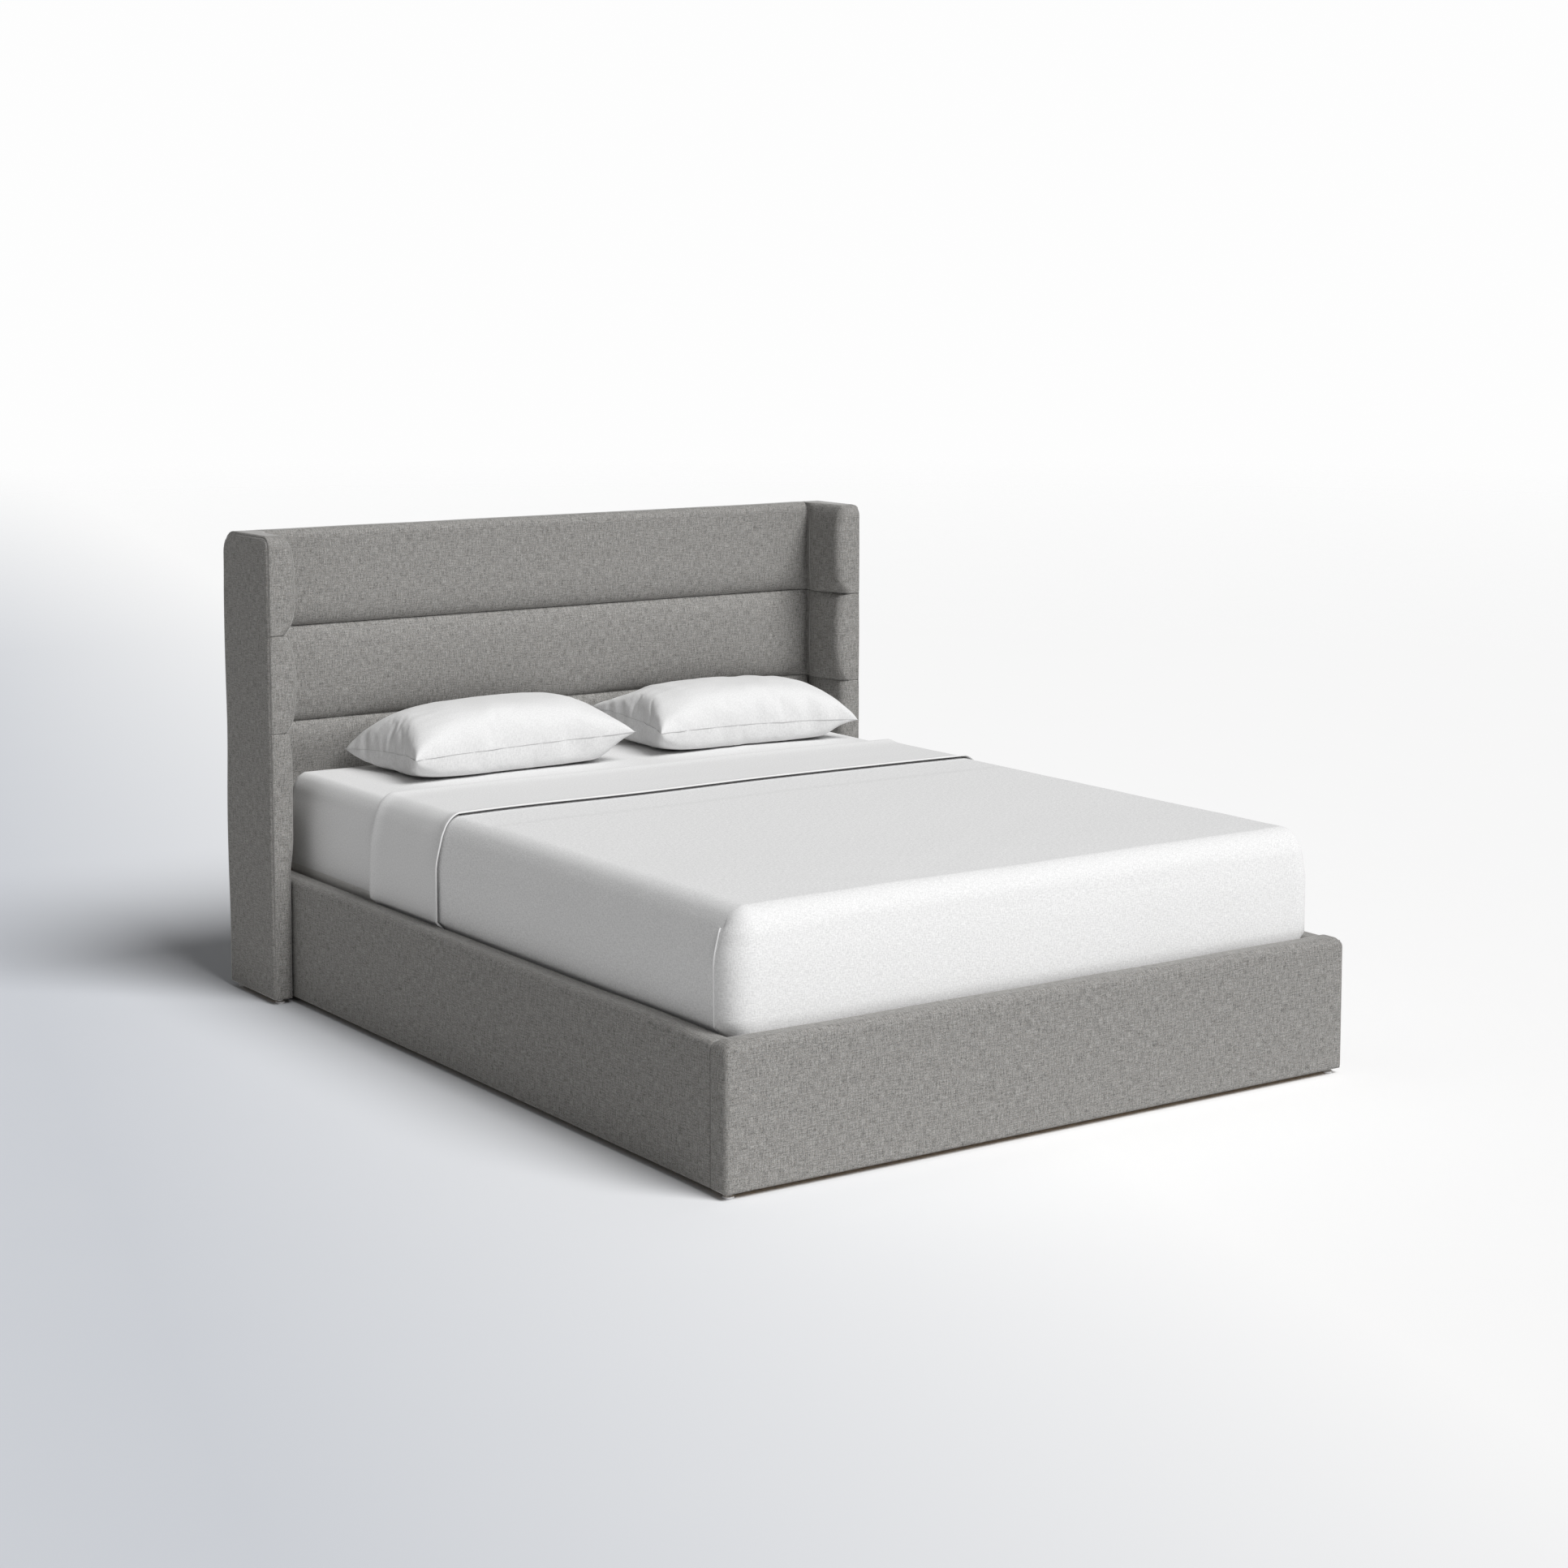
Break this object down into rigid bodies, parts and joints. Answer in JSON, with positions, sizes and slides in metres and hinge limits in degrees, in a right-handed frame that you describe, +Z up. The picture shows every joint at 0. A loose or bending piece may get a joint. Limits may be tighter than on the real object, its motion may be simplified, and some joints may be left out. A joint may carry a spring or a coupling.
{
  "type": "upholstered headboard bed",
  "caption": "Low box-frame bed in grey fabric with a tall winged, horizontally channelled headboard, slatted base, made-up mattress and pillows.",
  "frame": {"origin": "on the floor at the middle of the footprint", "axes": "+X to the right seen from the foot, +Y from the foot to the head, +Z up"},
  "size_m": [1.792, 2.2, 1.168],
  "materials": {
    "grey_upholstery": "woven, matt",
    "pale_sheet": "smooth woven, matt",
    "white_blanket": "soft quilted, matt",
    "mattress_ticking": "knitted, matt",
    "pillow_cotton": "woven cotton, matt",
    "plywood": "sanded, unfinished",
    "pine": "planed, unfinished",
    "zinc_steel": "zinc plated",
    "chrome": "polished",
    "webbing": "woven tape"
  },
  "bodies": {
    "frame": {"footboard_cover": "grey_upholstery", "side_rail_cover_left": "grey_upholstery", "side_rail_cover_right": "grey_upholstery", "wing_pad_top_left": "grey_upholstery", "wing_pad_top_right": "grey_upholstery", "wing_pad_middle_left": "grey_upholstery", "wing_pad_middle_right": "grey_upholstery", "wing_pad_lower_left": "grey_upholstery", "wing_pad_lower_right": "grey_upholstery", "wing_side_cover_left": "grey_upholstery", "wing_side_cover_right": "grey_upholstery", "headboard_pad_top": "grey_upholstery", "headboard_pad_middle": "grey_upholstery", "headboard_pad_lower": "grey_upholstery", "headboard_back_cover": "grey_upholstery", "footboard_core": "plywood", "headboard_face_board": "plywood", "side_rail_core_left": "plywood", "side_rail_core_right": "plywood", "wing_core_left": "plywood", "wing_core_right": "plywood", "slat_ledger_left": "pine", "slat_ledger_right": "pine", "headboard_stile_left": "pine", "headboard_stile_right": "pine", "headboard_top_rail": "pine", "headboard_middle_rail": "pine", "headboard_bottom_rail": "pine", "centre_beam": "pine", "centre_leg_front": "pine", "centre_leg_rear": "pine", "slat_01": "pine", "slat_02": "pine", "slat_03": "pine", "slat_04": "pine", "slat_05": "pine", "slat_06": "pine", "slat_07": "pine", "slat_08": "pine", "slat_09": "pine", "slat_10": "pine", "beam_hangers": "zinc_steel", "corner_brackets": "zinc_steel", "frame_bolts": "zinc_steel", "tee_nuts": "zinc_steel", "slat_tapes": "webbing"},
    "made_up_mattress": {"mattress": "mattress_ticking", "fitted_sheet": "pale_sheet", "blanket": "white_blanket", "sheet_cuff": "pale_sheet"},
    "pillow_left_body": {"pillow_left": "pillow_cotton"},
    "pillow_right_body": {"pillow_right": "pillow_cotton"},
    "glide_foot_left_body": {"glide_foot_left": "chrome"},
    "glide_foot_right_body": {"glide_foot_right": "chrome"},
    "glide_wing_left_front_body": {"glide_wing_left_front": "chrome"},
    "glide_wing_left_rear_body": {"glide_wing_left_rear": "chrome"},
    "glide_wing_right_front_body": {"glide_wing_right_front": "chrome"},
    "glide_wing_right_rear_body": {"glide_wing_right_rear": "chrome"},
    "glide_centre_front_body": {"glide_centre_front": "chrome"},
    "glide_centre_rear_body": {"glide_centre_rear": "chrome"}
  },
  "joints": [
    {"name": "mattress_lift", "type": "slide", "parent": "frame", "child": "made_up_mattress", "axis": [0, 0, 1], "range_m": [0, 0.45]},
    {"name": "pillow_left_lift", "type": "slide", "parent": "made_up_mattress", "child": "pillow_left_body", "axis": [0, 0, 1], "range_m": [0, 0.25]},
    {"name": "pillow_right_lift", "type": "slide", "parent": "made_up_mattress", "child": "pillow_right_body", "axis": [0, 0, 1], "range_m": [0, 0.25]},
    {"name": "glide_foot_left_level", "type": "slide", "parent": "frame", "child": "glide_foot_left_body", "axis": [0, 0, -1], "range_m": [0, 0.01]},
    {"name": "glide_foot_right_level", "type": "slide", "parent": "frame", "child": "glide_foot_right_body", "axis": [0, 0, -1], "range_m": [0, 0.01]},
    {"name": "glide_wing_left_front_level", "type": "slide", "parent": "frame", "child": "glide_wing_left_front_body", "axis": [0, 0, -1], "range_m": [0, 0.01]},
    {"name": "glide_wing_left_rear_level", "type": "slide", "parent": "frame", "child": "glide_wing_left_rear_body", "axis": [0, 0, -1], "range_m": [0, 0.01]},
    {"name": "glide_wing_right_front_level", "type": "slide", "parent": "frame", "child": "glide_wing_right_front_body", "axis": [0, 0, -1], "range_m": [0, 0.01]},
    {"name": "glide_wing_right_rear_level", "type": "slide", "parent": "frame", "child": "glide_wing_right_rear_body", "axis": [0, 0, -1], "range_m": [0, 0.01]},
    {"name": "glide_centre_front_level", "type": "slide", "parent": "frame", "child": "glide_centre_front_body", "axis": [0, 0, -1], "range_m": [0, 0.01]},
    {"name": "glide_centre_rear_level", "type": "slide", "parent": "frame", "child": "glide_centre_rear_body", "axis": [0, 0, -1], "range_m": [0, 0.01]}
  ]
}
